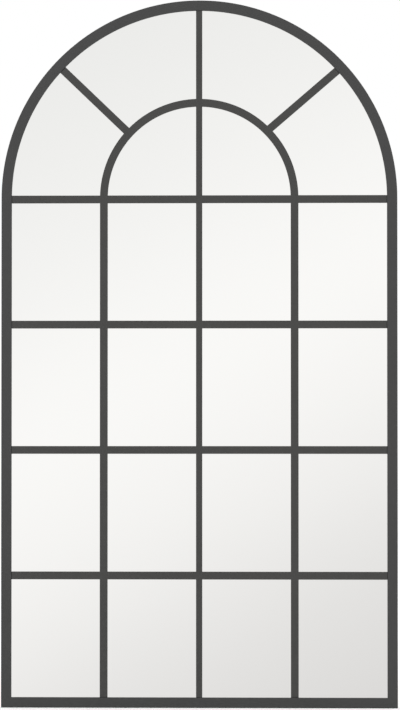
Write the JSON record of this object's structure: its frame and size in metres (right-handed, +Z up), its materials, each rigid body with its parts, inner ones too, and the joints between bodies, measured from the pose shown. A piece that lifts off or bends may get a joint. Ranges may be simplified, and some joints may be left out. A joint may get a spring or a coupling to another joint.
{
  "type": "arched window mirror",
  "caption": "Tall wall mirror with a half-round head: grey rebated tube frame, flat glazing bars over one sheet of mirror glass, board held by turn buttons, ring hangers.",
  "frame": {"origin": "middle of the bottom rail's underside, halfway through the frame's depth", "axes": "+Z up the mirror, +X to the right of someone facing it, the mirror faces -Y and its back faces the wall along +Y"},
  "size_m": [0.77, 0.022, 1.3749],
  "materials": {
    "frame_paint": "satin charcoal powder coat",
    "bar_paint": "satin charcoal powder coat",
    "mirror": "silvered clear glass",
    "foam": "soft white polyethylene sheet",
    "board": "bare medium density fibreboard",
    "zinc": "bright zinc plate",
    "rubber": "matt black rubber"
  },
  "bodies": {
    "mirror": {"frame_arch": "frame_paint", "frame_stile_left": "frame_paint", "frame_stile_right": "frame_paint", "frame_bottom_rail": "frame_paint", "centre_bar": "bar_paint", "side_bar_left": "bar_paint", "side_bar_right": "bar_paint", "spring_bar": "bar_paint", "cross_bar_upper": "bar_paint", "cross_bar_middle": "bar_paint", "cross_bar_lower": "bar_paint", "inner_arch_bar": "bar_paint", "spoke_left": "bar_paint", "spoke_right": "bar_paint", "mirror_glass": "mirror", "foam_sheet": "foam", "backing_board": "board", "setting_pads": "rubber", "button_screws": "zinc", "hanger_strap_left": "zinc", "hanger_strap_right": "zinc", "hanger_screws": "zinc", "wall_bumper_left": "rubber", "wall_bumper_right": "rubber"},
    "turn_button_left_lower_body": {"turn_button_left_lower": "zinc"},
    "turn_button_left_upper_body": {"turn_button_left_upper": "zinc"},
    "turn_button_right_lower_body": {"turn_button_right_lower": "zinc"},
    "turn_button_right_upper_body": {"turn_button_right_upper": "zinc"},
    "turn_button_bottom_left_body": {"turn_button_bottom_left": "zinc"},
    "turn_button_bottom_right_body": {"turn_button_bottom_right": "zinc"},
    "turn_button_arch_right_body": {"turn_button_arch_right": "zinc"},
    "turn_button_arch_crown_body": {"turn_button_arch_crown": "zinc"},
    "turn_button_arch_left_body": {"turn_button_arch_left": "zinc"},
    "hanger_ring_left_body": {"hanger_ring_left": "zinc"},
    "hanger_ring_right_body": {"hanger_ring_right": "zinc"}
  },
  "joints": [
    {"name": "turn_left_lower", "type": "hinge", "parent": "mirror", "child": "turn_button_left_lower_body", "pos_m": [-0.3775, 0.008, 0.2178], "axis": [0, 1, 0], "range_deg": [0, 90]},
    {"name": "turn_left_upper", "type": "hinge", "parent": "mirror", "child": "turn_button_left_upper_body", "pos_m": [-0.3775, 0.008, 0.7128], "axis": [0, 1, 0], "range_deg": [0, 90]},
    {"name": "turn_right_lower", "type": "hinge", "parent": "mirror", "child": "turn_button_right_lower_body", "pos_m": [0.3775, 0.008, 0.2178], "axis": [0, 1, 0], "range_deg": [0, 90]},
    {"name": "turn_right_upper", "type": "hinge", "parent": "mirror", "child": "turn_button_right_upper_body", "pos_m": [0.3775, 0.008, 0.7128], "axis": [0, 1, 0], "range_deg": [0, 90]},
    {"name": "turn_bottom_left", "type": "hinge", "parent": "mirror", "child": "turn_button_bottom_left_body", "pos_m": [-0.2002, 0.008, 0.0075], "axis": [0, 1, 0], "range_deg": [0, 90]},
    {"name": "turn_bottom_right", "type": "hinge", "parent": "mirror", "child": "turn_button_bottom_right_body", "pos_m": [0.2002, 0.008, 0.0075], "axis": [0, 1, 0], "range_deg": [0, 90]},
    {"name": "turn_arch_right", "type": "hinge", "parent": "mirror", "child": "turn_button_arch_right_body", "pos_m": [0.26693, 0.008, 1.25693], "axis": [0, 1, 0], "range_deg": [0, 90]},
    {"name": "turn_arch_crown", "type": "hinge", "parent": "mirror", "child": "turn_button_arch_crown_body", "pos_m": [0, 0.008, 1.3675], "axis": [0, 1, 0], "range_deg": [0, 90]},
    {"name": "turn_arch_left", "type": "hinge", "parent": "mirror", "child": "turn_button_arch_left_body", "pos_m": [-0.26693, 0.008, 1.25693], "axis": [0, 1, 0], "range_deg": [0, 90]},
    {"name": "ring_left_swing", "type": "hinge", "parent": "mirror", "child": "hanger_ring_left_body", "pos_m": [-0.3765, 0.01075, 0.94], "axis": [1, 0, 0], "range_deg": [0, 175]},
    {"name": "ring_right_swing", "type": "hinge", "parent": "mirror", "child": "hanger_ring_right_body", "pos_m": [0.3765, 0.01075, 0.94], "axis": [1, 0, 0], "range_deg": [0, 175]}
  ]
}
